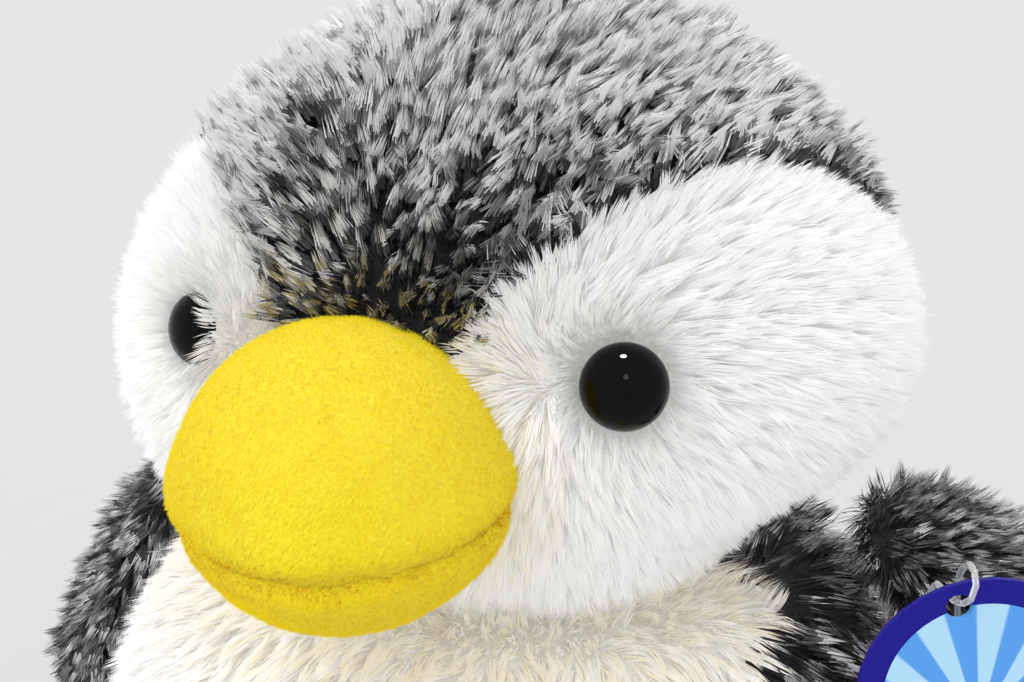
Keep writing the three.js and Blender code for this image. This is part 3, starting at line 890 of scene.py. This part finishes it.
class PENGUIN_OT_eyes(Operator):
    """Turns the two domed eyes"""

    bl_idname = "penguin.eyes"
    bl_label = "Eyes"

    def execute(self, context):
        material, tree, shader = node_material("eye_gloss", {
            "Base Color": (0.002, 0.002, 0.0022, 1.0),
            "Specular IOR Level": 0.1,
        })
        haze = noise(tree, 220.0, 2.0)
        ramp(tree, haze, [(0.35, (0.02,) * 3), (0.8, (0.06,) * 3)], shader.inputs["Roughness"])
        for side, (seat, direction) in eye_places().items():
            self.turn_eye(side, seat, direction, material)
        return {"FINISHED"}

    def turn_eye(self, side, seat, direction, material):
        flange, shank, depth, steps = 0.8 * MM, 2.0 * MM, 15 * MM, 14
        outline = [(0.0, EYE_RISE)]
        for i in range(1, steps + 1):
            a = math.pi / 2 * i / steps
            outline.append((EYE_RADIUS * math.sin(a), EYE_RISE * math.cos(a)))
        outline += [(EYE_RADIUS * 0.96, -flange), (shank, -flange), (shank, -depth), (0.0, -depth)]
        bm = bmesh.new()
        ring = [bm.verts.new((r, 0.0, z)) for r, z in outline]
        edges = [bm.edges.new(pair) for pair in zip(ring, ring[1:])]
        bmesh.ops.spin(bm, geom=ring + edges, cent=(0, 0, 0), axis=(0, 0, 1), angle=2 * math.pi,
                       steps=48, use_merge=True, use_duplicate=False)
        bmesh.ops.remove_doubles(bm, verts=bm.verts, dist=0.01 * MM)
        bmesh.ops.recalc_face_normals(bm, faces=bm.faces)
        turn = UP.rotation_difference(direction).to_matrix().to_4x4()
        bmesh.ops.transform(bm, matrix=Matrix.Translation(seat) @ turn, verts=bm.verts)
        piece = new_object(f"eye_dome_{side}", bm)
        piece.data.materials.append(material)
        finish_piece(piece, "head", [f"eye_{side}"])


# Body

BODY_PANELS = ["chest_panel", "back_panel_left", "back_panel_right", "base_panel"]
NECK_CAP = np.array((44, 34)) * MM  # half the width and depth of the bare top under the head


class PENGUIN_OT_body(Operator):
    """Stuffs the body and grows the white chest and the frosted back"""

    bl_idname = "penguin.body"
    bl_label = "Body"

    def execute(self, context):
        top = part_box("chest_panel")[1].z

        def seams(co):
            return (co[:, 2] < 5 * MM) | (co[:, 2] > top - 6 * MM)

        form = stuffed_form("body_form", BODY_PANELS, seams)
        co, normals = coordinates(form.data), vertex_normals(form.data)
        right_front = step(-co[:, 0], 28, 34) * step(-co[:, 1], 8, 16)
        co += normals * (right_front * bell(co[:, 2], 92, 44) * 6.5 * MM)[:, None]
        co[:, 2] = np.maximum(co[:, 2], 0.3 * MM)
        set_coordinates(form.data, co)
        filling("body_filling", form, "body", "body_stuffing")
        centres, outwards = face_centres(form.data), face_normals(form.data)
        under_head = np.linalg.norm(centres[:, :2] / NECK_CAP, axis=1) < 1
        cap = (centres[:, 2] > top - 3 * MM) & (outwards[:, 2] > 0.6) & under_head
        base = (centres[:, 2] < 3 * MM) & (outwards[:, 2] < -0.6)
        panel = nearest_panel(centres, BODY_PANELS[:3])
        backing("chest_backing", form, ~base & (panel == 0), "body", "chest_panel", "white_plush")
        for i, side in enumerate(SIDES, start=1):
            kept = ~base & (panel == i)
            backing(f"back_backing_{side}", form, kept, "body", f"back_panel_{side}", "frosted_plush")
            self.grow_back(f"back_pile_{side}", form, kept & ~cap, 150 + i)
        self.grow_chest(form, ~base & ~cap & (panel == 0))
        dress("base_panel", knit("frosted_plush"))
        bpy.data.objects.remove(form)
        return {"FINISHED"}

    def comb_down(self, pile, spread):
        """Pile that lies down the body, and out from its middle by the spread."""
        return tangent(pile.root * (spread, spread, 0.0) - (0.0, 0.0, 1.0), pile.normal)

    def grow_chest(self, form, kept):
        pile = Pile(form, kept, lambda p: np.where(p[:, 2] > 110 * MM, 4.2, 2.2), 150, 54000)
        length = settings("pile").face_length * np.maximum(step(pile.root[:, 2], 3, 25), 0.35)
        lean = np.radians(50 + 5 * patches(pile.root, 18 * MM, 6))
        # The cream at the top of the chest and its stronger glow are painted light: warm bounce and lifted
        # shade in the fold under the head.
        cream_and_bounce = step(pile.root[:, 2], 140, 20) * 0.5
        grow("chest_pile", pile, self.comb_down(pile, 5), length, lean, white(cream_and_bounce + 0.04, "chest", 0.14),
             "body", twist=0.25, width=1.25, pull=0.45)

    def grow_back(self, name, form, kept, seed):
        pile = Pile(form, kept, 2.4, seed, 30000)
        length = settings("pile").crown_length * np.maximum(step(pile.root[:, 2], 3, 30), 0.3)
        lean = np.radians(44 + 6 * patches(pile.root, 18 * MM, 7))
        grow(name, pile, self.comb_down(pile, 3), length * 1.1, lean, frosted(), "body",
             steps=THREE_STEPS, width=1.6, pull=0.62, spread=0.2)


# Flippers, feet and tail

class PENGUIN_OT_flippers(Operator):
    """Stuffs both flippers and grows their pile"""

    bl_idname = "penguin.flippers"
    bl_label = "Flippers"

    def execute(self, context):
        for side, sign in SIDES.items():
            self.make_flipper(side, sign)
        return {"FINISHED"}

    def make_flipper(self, side, sign):
        panels = [f"flipper_{side}_outer", f"flipper_{side}_lining"]
        pivot, axis = joint(f"flipper_{side}_raise")
        pivot, axis = np.array(pivot), np.array(axis)
        form = stuffed_form(f"flipper_{side}_form", panels, lambda co: np.zeros(len(co), bool),
                            4 * MM, 2.5 * MM)
        panel = nearest_panel(face_centres(form.data), panels)
        points = coordinates(form.data)
        tip = points[np.argmax(np.linalg.norm(points - pivot, axis=1))]
        along = unit((tip - pivot) * (1, 0, 1))
        filling(f"flipper_{side}_filling", form, f"flipper_{side}", f"flipper_{side}_stuffing", 3.2 * MM)
        for i, node in enumerate(panels):
            kept = panel == i
            backing(f"{node}_backing", form, kept, f"flipper_{side}", node, "frosted_plush")
            pile = Pile(form, kept, 4.6 - 1.8 * i, 160 + 4 * i + (sign > 0), 24000)
            comb = tangent(along + (0, 0, -0.25), pile.normal)
            edge = 1 - 0.2 * np.clip(1 - np.abs(pile.normal @ axis), 0, 1)
            lean = np.radians(44 + 7 * patches(pile.root, 12 * MM, 9))
            grow(f"{node}_pile", pile, comb, settings("pile").flipper_length * edge, lean, frosted(),
                 f"flipper_{side}", steps=THREE_STEPS, width=1.2, pull=0.6,
                 spread=0.2)
        bpy.data.objects.remove(form)


class PENGUIN_OT_feet(Operator):
    """Stuffs both feet, stitches their toes and grows their short pile"""

    bl_idname = "penguin.feet"
    bl_label = "Feet"

    def execute(self, context):
        for side, sign in SIDES.items():
            self.make_foot(side, sign)
        return {"FINISHED"}

    def make_foot(self, side, sign):
        panels = [f"foot_{side}_top", f"foot_{side}_sole"]
        pivot, axis = joint(f"foot_{side}_lift")
        form = stuffed_form(f"foot_{side}_form", panels, lambda co: co[:, 2] < 2.5 * MM, 3.2 * MM,
                            2.2 * MM)
        forward = np.array(axis.cross(UP))
        forward *= -np.sign(forward[1])
        sideways = np.cross(forward, (0, 0, 1))
        co, normals = coordinates(form.data), vertex_normals(form.data)
        ahead = (co - np.array(pivot)) @ forward
        across = (co - np.array(pivot)) @ sideways
        toe = step(ahead, 16, 30)
        for middle in (-9 * MM, 9 * MM):
            dent = bell(across - middle * (0.7 + 0.3 * toe), 0, 2.4) * 2.6 * MM * toe
            co = co - normals * dent[:, None]
        co[:, 2] = np.maximum(co[:, 2], 0.2 * MM)
        set_coordinates(form.data, co)
        sole = face_centres(form.data)[:, 2] < 2.2 * MM
        filling(f"foot_{side}_filling", form, f"foot_{side}", f"foot_{side}_stuffing")
        for node, kept in zip(panels, (~sole, sole)):
            backing(f"{node}_backing", form, kept, f"foot_{side}", node, "yellow_plush")
        pile = Pile(form, ~sole, 12.0, 180 + (sign > 0), 60000)
        comb = tangent(forward + (0, 0, -0.3), pile.normal)
        length = settings("pile").yellow_length * np.maximum(step(pile.root[:, 2], 0.5, 4), 0.25)
        grow(f"foot_{side}_pile", pile, comb, length, np.full(len(pile), 0.8), yellow(0.0),
             f"foot_{side}", steps=ONE_STEP, width=0.9, members=6, pull=0.2, stray=0.4,
             spread=0.15)
        bpy.data.objects.remove(form)


class PENGUIN_OT_tail(Operator):
    """Stuffs the tail and grows its pile"""

    bl_idname = "penguin.tail"
    bl_label = "Tail"

    def execute(self, context):
        form = stuffed_form("tail_form", ["tail"], lambda co: co[:, 1] < 76 * MM, 3.5 * MM, 2 * MM)
        kept = np.ones(len(form.data.polygons), bool)
        backing("tail_backing", form, kept, "body", "tail", "frosted_plush")
        pile = Pile(form, kept, 3.5, 190, 8000)
        comb = tangent(np.array((0, 1, -0.45)), pile.normal)
        length = np.full(len(pile), settings("pile").flipper_length)
        grow("tail_pile", pile, comb, length, np.full(len(pile), 0.9), frosted(), "body",
             steps=THREE_STEPS, width=1.6, pull=0.6, spread=0.15)
        bpy.data.objects.remove(form)
        return {"FINISHED"}


# Tag, label and hidden parts

RAYS = 13.0
RAY_DROP = 6 * MM  # how far below the tag's middle the rays meet
PRINT_RADIUS = 16.6 * MM  # where the rays end and the border starts


def tag_material():
    """Printed card: an indigo border round pale rays on light blue."""
    material, tree, shader = node_material("tag_print", {
        "Roughness": 0.4,
        "Specular IOR Level": 0.15,
        "Coat Weight": 0.08,
        "Coat Roughness": 0.15,
    })
    low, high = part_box("hang_tag")
    centre = (low + high) / 2
    coordinate = tree.nodes.new("ShaderNodeTexCoord")
    place = tree.nodes.new("ShaderNodeMapping")
    place.vector_type = "TEXTURE"
    place.inputs["Location"].default_value = centre
    place.inputs["Rotation"].default_value = (0.0, 0.0, math.radians(23.0))
    tree.links.new(coordinate.outputs["Object"], place.inputs["Vector"])
    split = tree.nodes.new("ShaderNodeSeparateXYZ")
    tree.links.new(place.outputs["Vector"], split.inputs["Vector"])

    def maths(operation, a, b=None):
        node = tree.nodes.new("ShaderNodeMath")
        node.operation = operation
        for socket, value in zip(node.inputs, (a, b)):
            if isinstance(value, float):
                socket.default_value = value
            elif value is not None:
                tree.links.new(value, socket)
        return node.outputs[0]

    x, z = split.outputs["X"], split.outputs["Z"]
    radius = maths("SQRT", maths("ADD", maths("MULTIPLY", x, x), maths("MULTIPLY", z, z)))
    angle = maths("ARCTAN2", maths("ADD", z, RAY_DROP), x)
    rays = maths("SINE", maths("MULTIPLY", angle, RAYS))
    mix = tree.nodes.new("ShaderNodeMix")
    mix.data_type = "RGBA"
    tree.links.new(maths("GREATER_THAN", radius, PRINT_RADIUS), mix.inputs["Factor"])
    ramp(tree, maths("ADD", maths("MULTIPLY", rays, 0.5), 0.5),
         [(0.42, (0.10, 0.36, 0.86)), (0.58, (0.45, 0.74, 0.97))], mix.inputs[6])
    mix.inputs[7].default_value = (*settings("colours").indigo, 1.0)
    tree.links.new(mix.outputs[2], shader.inputs["Base Color"])
    return material


class PENGUIN_OT_trim(Operator):
    """Finishes the hang tag, its clear loop, the care label and the hidden parts"""

    bl_idname = "penguin.trim"
    bl_label = "Tag and trim"

    def execute(self, context):
        dress("hang_tag", tag_material())
        dress("tag_loop", node_material("clear_filament", {
            "Base Color": (0.93, 0.95, 0.96, 1.0),
            "Roughness": 0.15,
            "Transmission Weight": 0.75,
        })[0])
        washer = ("washer_moulding", (0.74, 0.73, 0.68), (0.8, 0.79, 0.75), 500.0, 0.5, 0.0, 0.0001)
        for node, finish in (
            ("care_label", ("satin_ribbon", (0.82, 0.82, 0.8), (0.93, 0.93, 0.92), 2500.0, 0.5, 0.2)),
            ("pellet_bag", ("pellet_cotton", (0.55, 0.52, 0.45), (0.72, 0.69, 0.62), 1200.0)),
            ("eye_washer_left", washer),
            ("eye_washer_right", washer),
        ):
            dress(node, mottled(*finish))
        return {"FINISHED"}


# Stage

FLOOR_SIZE = 60.0
CAMERA_PLACE = Vector((96, -223, 67)) * MM  # from the middle of the head


def aimed(name, data, back, place=(0, 0, 0)):
    """A lamp or camera at a place, turned so that its back points the given way."""
    thing = linked(name, data)
    thing.location = place
    thing.rotation_euler = back.to_track_quat("Z", "Y").to_euler()
    return thing


class PENGUIN_OT_stage(Operator):
    """Lays the pale floor and sets the soft lights and the camera"""

    bl_idname = "penguin.stage"
    bl_label = "Stage"

    def execute(self, context):
        scene = context.scene
        scene.view_settings.view_transform = "Standard"
        self.lay_floor()
        self.light_world(scene)
        self.set_lights()
        self.set_camera(scene)
        return {"FINISHED"}

    def lay_floor(self):
        bm = bmesh.new()
        bmesh.ops.create_grid(bm, x_segments=1, y_segments=1, size=FLOOR_SIZE)
        floor = new_object("floor", bm, smooth=False)
        matt = {"Roughness": 1.0, "Specular IOR Level": 0.0}
        material, tree, shader = node_material("floor_paper", matt)
        stops = [(0.3, (0.698,) * 3), (0.7, (0.708,) * 3)]
        ramp(tree, noise(tree, 40.0), stops, shader.inputs["Base Color"])
        floor.data.materials.append(material)

    def light_world(self, scene):
        world = bpy.data.worlds.new("soft_room")
        world.use_nodes = True
        background = world.node_tree.nodes["Background"]
        background.inputs["Color"].default_value = (0.79, 0.79, 0.795, 1.0)
        background.inputs["Strength"].default_value = 1.0
        scene.world = world

    def set_lights(self):
        for name, direction, angle, strength in (
            ("key", (-0.55, -0.55, 1.0), 50.0, 1.1),
            ("fill", (0.8, -0.9, 0.55), 70.0, 0.45),
        ):
            lamp = bpy.data.lights.new(name, "SUN")
            lamp.angle = math.radians(angle)
            lamp.energy = strength
            aimed(name, lamp, Vector(direction)).visible_glossy = False
        for name, place, size, power in (
            ("catch_light", (0.05, -0.12, 1.15), 0.2, 16.0),
            ("window_light", (0.42, -0.85, 0.75), 0.2, 0.6),
        ):
            lamp = bpy.data.lights.new(name, "AREA")
            lamp.shape = "DISK"
            lamp.size = size
            lamp.energy = power
            aimed(name, lamp, Vector(place) - HEAD_CENTRE, place).visible_diffuse = False

    def set_camera(self, scene):
        stage = settings("stage")
        a, e = stage.azimuth, stage.elevation
        back = Vector((math.sin(a) * math.cos(e), -math.cos(a) * math.cos(e), math.sin(e)))
        camera = aimed("camera", bpy.data.cameras.new("camera"), back, HEAD_CENTRE + CAMERA_PLACE)
        camera.data.sensor_width = 36.0
        camera.data.lens = stage.lens
        camera.data.clip_start = 0.01
        scene.camera = camera


class PENGUIN_PT_panel(Panel):
    bl_label = "Penguin"
    bl_idname = "PENGUIN_PT_panel"
    bl_space_type = "VIEW_3D"
    bl_region_type = "UI"
    bl_category = "Penguin"

    def draw(self, context):
        for operator in OPERATORS:
            self.layout.operator(operator.bl_idname)
        for name, group in GROUPS.items():
            box = self.layout.box()
            for prop in group.__annotations__:
                box.prop(getattr(context.scene, f"penguin_{name}"), prop)


GROUPS = {"pile": PenguinPile, "colours": PenguinColours, "sewing": PenguinSewing, "stage": PenguinStage}
OPERATORS = (
    PENGUIN_OT_stage,
    PENGUIN_OT_head,
    PENGUIN_OT_beak,
    PENGUIN_OT_eyes,
    PENGUIN_OT_body,
    PENGUIN_OT_flippers,
    PENGUIN_OT_feet,
    PENGUIN_OT_tail,
    PENGUIN_OT_trim,
)


def register():
    for cls in (*GROUPS.values(), *OPERATORS, PENGUIN_PT_panel):
        bpy.utils.register_class(cls)
    for name, group in GROUPS.items():
        setattr(bpy.types.Scene, f"penguin_{name}", PointerProperty(type=group))


def unregister():
    for name in GROUPS:
        delattr(bpy.types.Scene, f"penguin_{name}")
    for cls in reversed((*GROUPS.values(), *OPERATORS, PENGUIN_PT_panel)):
        bpy.utils.unregister_class(cls)


def main():
    register()
    bpy.ops.penguin.stage()
    bpy.ops.penguin.head()
    bpy.ops.penguin.beak()
    bpy.ops.penguin.eyes()
    bpy.ops.penguin.body()
    bpy.ops.penguin.flippers()
    bpy.ops.penguin.feet()
    bpy.ops.penguin.tail()
    bpy.ops.penguin.trim()


if __name__ == "__main__":
    main()
